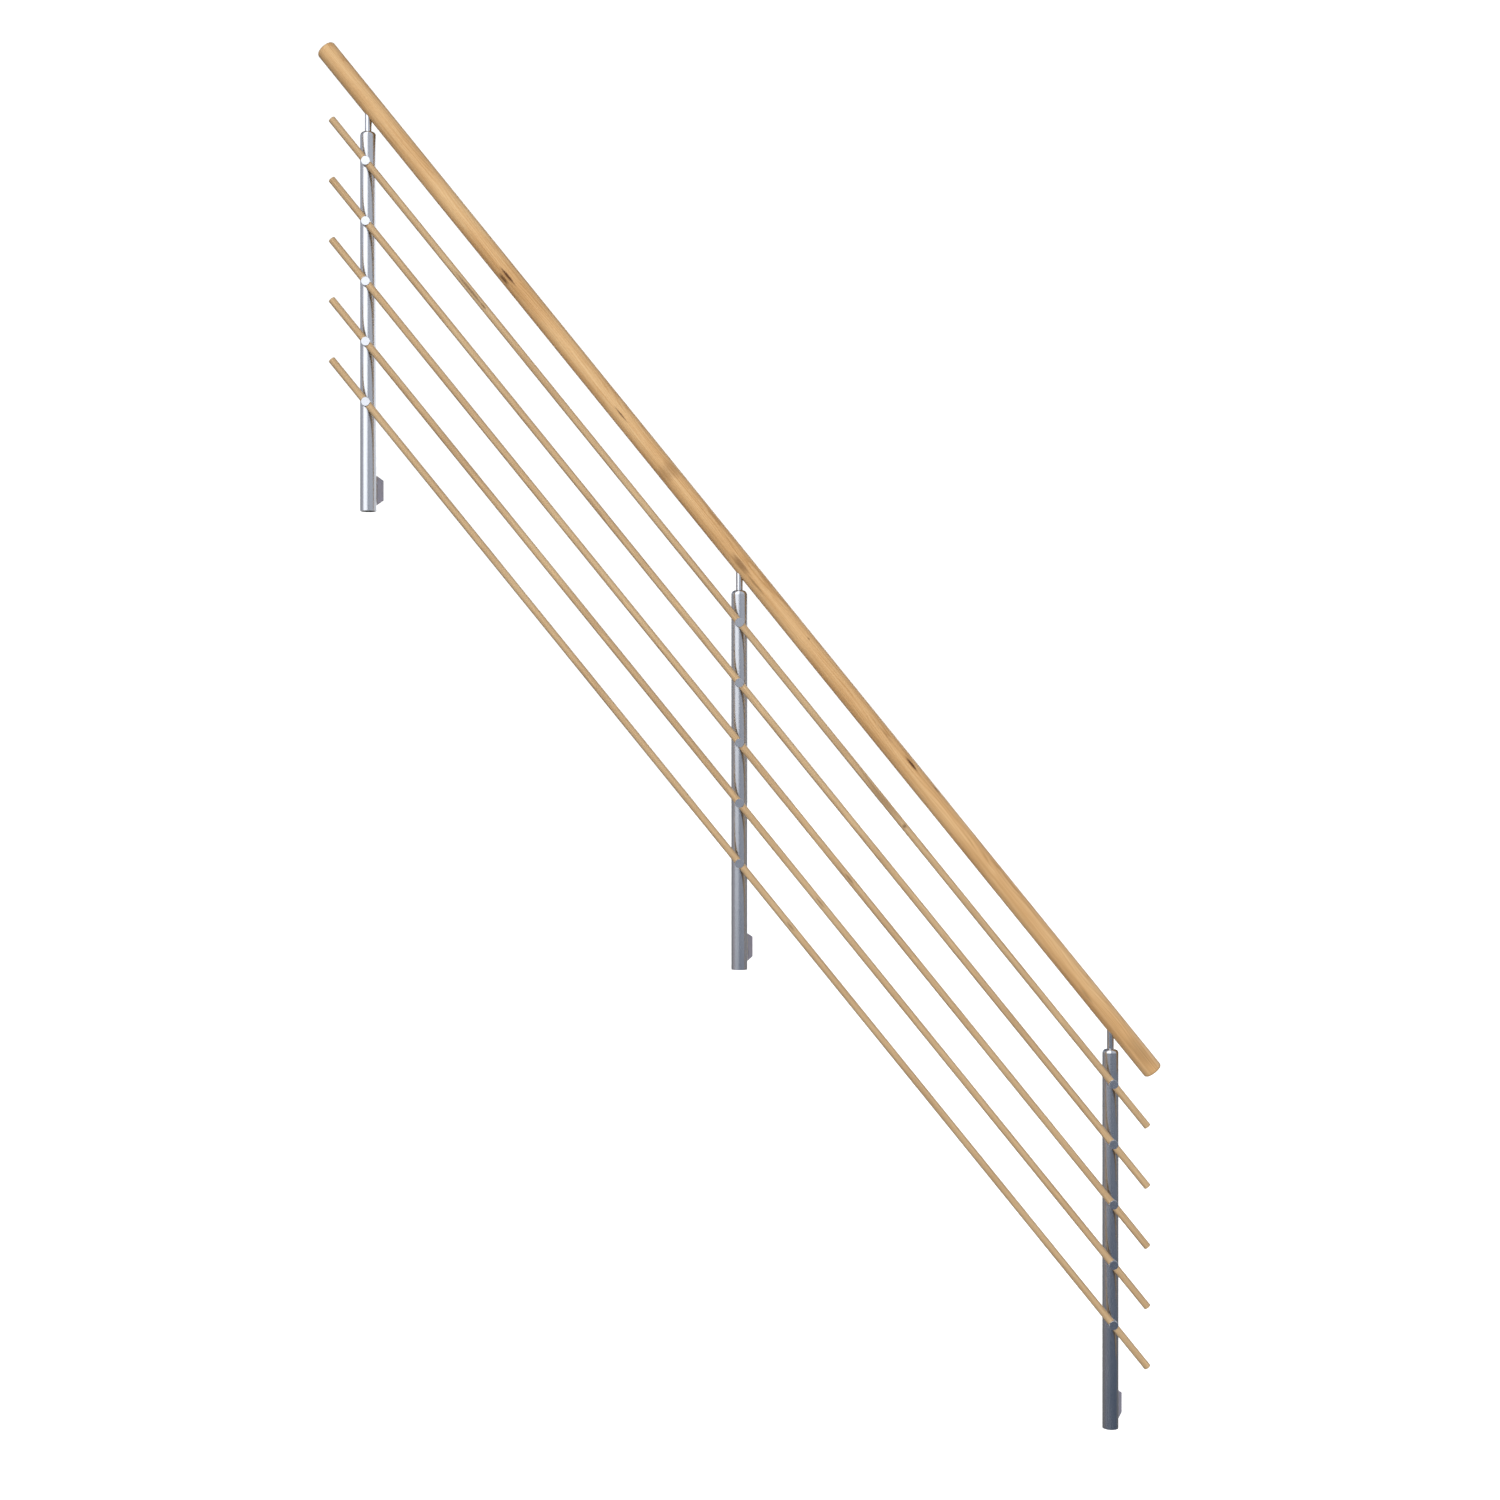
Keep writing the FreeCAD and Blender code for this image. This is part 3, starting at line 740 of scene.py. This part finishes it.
class BALUSTRADE_OT_stage(bpy.types.Operator):
    """Sets the floor, the studio light and the camera"""
    bl_idname = "balustrade.stage"
    bl_label = "Set the stage"

    def execute(self, context):
        stage = context.scene.balustrade_stage
        self.lay_floor(stage)
        self.light_studio(context.scene, stage)
        self.hang_key_light(stage)
        self.set_camera(context.scene, stage)
        return {"FINISHED"}

    def lay_floor(self, stage):
        """A pale painted floor that runs out of sight."""
        deselect()
        bpy.ops.mesh.primitive_plane_add(size=FLOOR_SIZE, location=(LOWER_POST.x, 0, FLOOR_LEVEL))
        floor = bpy.context.object
        floor.name = "studio_floor"
        apply_place(floor)
        floor.visible_glossy = False
        floor.visible_diffuse = False
        material, tree, shader, coords = new_material("floor_paint_matt")
        roller = stretched_noise(tree, coords, (4 * MM,) * 3, 2.0)
        rough = add(tree, "ShaderNodeMapRange", {"Value": roller, "To Min": 0.7, "To Max": 0.9}).outputs[0]
        link_shader(tree, shader, Roughness=rough)
        shader.inputs["Base Color"].default_value = opaque(stage.floor)
        shader.inputs["Specular IOR Level"].default_value = 0.0
        shader.inputs["Emission Color"].default_value = opaque(stage.floor)
        shader.inputs["Emission Strength"].default_value = WHITE_STRENGTH
        floor.data.materials.append(material)

    def light_studio(self, scene, stage):
        """A white backdrop, even soft light for the wood, and the room that the steel mirrors."""
        world = bpy.data.worlds.new("studio")
        scene.world = world
        world.use_nodes = True
        tree = world.node_tree
        tree.nodes.clear()
        direction = add(tree, "ShaderNodeTexCoord").outputs["Generated"]
        way = add(tree, "ShaderNodeSeparateXYZ", {"Vector": direction}).outputs
        room = self.mirrored_room(tree, way, stage)

        # What reaches the wood: even light, with more from the backdrop
        bounce = add(tree, "ShaderNodeMapRange", {
            "Value": way["Y"], "From Min": BACKDROP[0], "From Max": BACKDROP[1],
            "To Min": stage.ambient, "To Max": stage.ambient + stage.bounce}).outputs[0]
        even = add(tree, "ShaderNodeBackground", {"Color": (1, 1, 1, 1), "Strength": bounce})
        room = add(tree, "ShaderNodeBackground", {"Color": room, "Strength": 1.0})
        backdrop = add(tree, "ShaderNodeBackground", {"Color": (1, 1, 1, 1), "Strength": WHITE_STRENGTH})
        ray = add(tree, "ShaderNodeLightPath").outputs
        light = add(tree, "ShaderNodeMixShader", {
            0: ray["Is Glossy Ray"], 1: even.outputs[0], 2: room.outputs[0]})
        light = add(tree, "ShaderNodeMixShader", {
            0: ray["Is Camera Ray"], 1: light.outputs[0], 2: backdrop.outputs[0]})
        add(tree, "ShaderNodeOutputWorld", {"Surface": light.outputs[0]})
        scene.view_settings.view_transform = "Standard"

    def mirrored_room(self, tree, way, stage):
        """Gives the colour of the mirrored room in each direction."""
        height, depth = {}, {}
        for shares, axis, changes in ((height, "Z", ROOM_HEIGHTS), (depth, "Y", ROOM_DEPTHS)):
            for name, (start, end, low, high) in changes.items():
                shares[name] = add(tree, "ShaderNodeMapRange", {
                    "Value": way[axis], "From Min": start, "From Max": end,
                    "To Min": low, "To Max": high}).outputs[0]
        front = add(tree, "ShaderNodeMath", {0: way["Y"], 1: -1.0}, operation="MULTIPLY").outputs[0]
        turn = add(tree, "ShaderNodeMath", {0: way["X"], 1: front}, operation="ARCTAN2").outputs[0]

        # Walls that darken downwards to the pale floor in front, and stay warm grey behind the panel
        behind = add(tree, "ShaderNodeMath", {0: depth["back"], 1: height["back"]},
                     operation="MULTIPLY").outputs[0]
        room = opaque(stage.ground)
        for share, colour in ((height["walls"], stage.sky), (height["near_floor"], stage.near_floor),
                              (behind, stage.back)):
            room = add(tree, "ShaderNodeMix", {"Factor": share, 6: room, 7: opaque(colour)},
                       data_type="RGBA").outputs[2]

        # A tall window at the front left that fades below eye level, and a high one at the right rear
        lean = add(tree, "ShaderNodeMath", {0: turn, 1: height["tall_window_lean"]},
                   operation="SUBTRACT").outputs[0]
        rise = add(tree, "ShaderNodeValToRGB", {"Fac": height["tall_window"]})
        for position, _ in WINDOW_STOPS[1:-1]:
            rise.color_ramp.elements.new(position)
        for element, (position, value) in zip(rise.color_ramp.elements, WINDOW_STOPS):
            element.position = position
            element.color = opaque((value,) * 3)
        tall = self.between(tree, turn, lean, *TALL_WINDOW)
        high = self.between(tree, turn, turn, *HIGH_WINDOW)
        high = add(tree, "ShaderNodeMath", {0: high, 1: height["high_window"]},
                   operation="MULTIPLY").outputs[0]
        panes = add(tree, "ShaderNodeMath", {0: rise.outputs["Color"], 1: tall, 2: high},
                    operation="MULTIPLY_ADD").outputs[0]
        panes = add(tree, "ShaderNodeMath", {0: panes, 1: stage.window}, operation="MULTIPLY").outputs[0]
        room = add(tree, "ShaderNodeVectorMath", {0: room, 1: panes}, operation="ADD").outputs[0]

        # A paler wall at the right, warm wood low at the left, and a bright doorway straight behind
        wood = add(tree, "ShaderNodeMath", {0: height["wood_foot"], 1: height["wood_top"]},
                   operation="MULTIPLY").outputs[0]
        for span, share, colour in ((RIGHT_WALL, height["right_wall"], stage.right_wall),
                                    (WARM_WOOD, wood, stage.wood_glow)):
            side = self.between(tree, turn, turn, *span)
            side = add(tree, "ShaderNodeMath", {0: side, 1: share}, operation="MULTIPLY").outputs[0]
            room = add(tree, "ShaderNodeVectorMath", {0: side, 1: colour, 2: room},
                       operation="MULTIPLY_ADD").outputs[0]
        opening = add(tree, "ShaderNodeMapRange", {
            "Value": way["Y"], "From Min": DOORWAY[0], "From Max": DOORWAY[1]},
            interpolation_type="SMOOTHSTEP").outputs[0]
        room = add(tree, "ShaderNodeVectorMath", {0: opening, 1: stage.doorway, 2: room},
                   operation="MULTIPLY_ADD").outputs[0]

        # A ceiling that is dim behind the panel
        dimmer = add(tree, "ShaderNodeMath", {0: height["ceiling"], 1: depth["ceiling"], 2: 1.0},
                     operation="MULTIPLY_ADD").outputs[0]
        return add(tree, "ShaderNodeVectorMath", {0: room, 1: dimmer}, operation="MULTIPLY").outputs[0]

    def hang_key_light(self, stage):
        """A large soft light high behind the camera."""
        deselect()
        place = Vector(stage.key_place)
        bpy.ops.object.light_add(type="AREA", location=place)
        key = bpy.context.object
        key.name = "key_light"
        key.rotation_euler = (LOWER_POST + BAY - place).to_track_quat("-Z", "Y").to_euler()
        key.data.size = stage.key_size
        key.data.energy = stage.key_power
        key.visible_camera = False
        key.visible_glossy = False

    def between(self, tree, left, right, first, last, soft):
        """One from the first to the last angle in degrees, none outside, with soft edges."""
        mask = None
        for value, edge, side in ((left, first, 1), (right, last, -1)):
            step = add(tree, "ShaderNodeMapRange", {
                "Value": value, "From Min": math.radians(edge - side * soft),
                "From Max": math.radians(edge + side * soft)}, interpolation_type="SMOOTHSTEP").outputs[0]
            if mask is not None:
                step = add(tree, "ShaderNodeMath", {0: mask, 1: step}, operation="MULTIPLY").outputs[0]
            mask = step
        return mask

    def set_camera(self, scene, stage):
        """Looks level at the panel's face, from as far as the perspective in the picture asks."""
        deselect()
        bpy.ops.object.camera_add(location=stage.eye, rotation=(math.pi / 2, 0, 0))
        camera = bpy.context.object
        camera.name = "camera"
        camera.data.angle = stage.view_angle
        camera.data.shift_x = stage.side_shift
        scene.camera = camera


class BALUSTRADE_PT_panel(bpy.types.Panel):
    """Lists the steps that dress the panel, and its sizes and colours"""
    bl_label = "Stair balustrade panel"
    bl_idname = "BALUSTRADE_PT_panel"
    bl_space_type = "VIEW_3D"
    bl_region_type = "UI"
    bl_category = "Balustrade"

    def draw(self, context):
        for operator in OPERATORS:
            self.layout.operator(operator.bl_idname)
        for name in GROUPS:
            group = getattr(context.scene, name)
            box = self.layout.box()
            for prop in group.__annotations__:
                box.prop(group, prop)


OPERATORS = (
    BALUSTRADE_OT_wood,
    BALUSTRADE_OT_posts,
    BALUSTRADE_OT_plugs,
    BALUSTRADE_OT_screws,
    BALUSTRADE_OT_welds,
    BALUSTRADE_OT_stage,
)
GROUPS = {
    "balustrade_wood": BalustradeWood,
    "balustrade_steel": BalustradeSteel,
    "balustrade_fixings": BalustradeFixings,
    "balustrade_stage": BalustradeStage,
}
CLASSES = (*GROUPS.values(), *OPERATORS, BALUSTRADE_PT_panel)


def register():
    for item in CLASSES:
        bpy.utils.register_class(item)
    for name, group in GROUPS.items():
        setattr(bpy.types.Scene, name, PointerProperty(type=group))


def unregister():
    for name in GROUPS:
        delattr(bpy.types.Scene, name)
    for item in reversed(CLASSES):
        bpy.utils.unregister_class(item)


def main():
    register()
    bpy.ops.balustrade.wood()
    bpy.ops.balustrade.posts()
    bpy.ops.balustrade.plugs()
    bpy.ops.balustrade.screws()
    bpy.ops.balustrade.welds()
    bpy.ops.balustrade.stage()


if __name__ == "__main__":
    main()
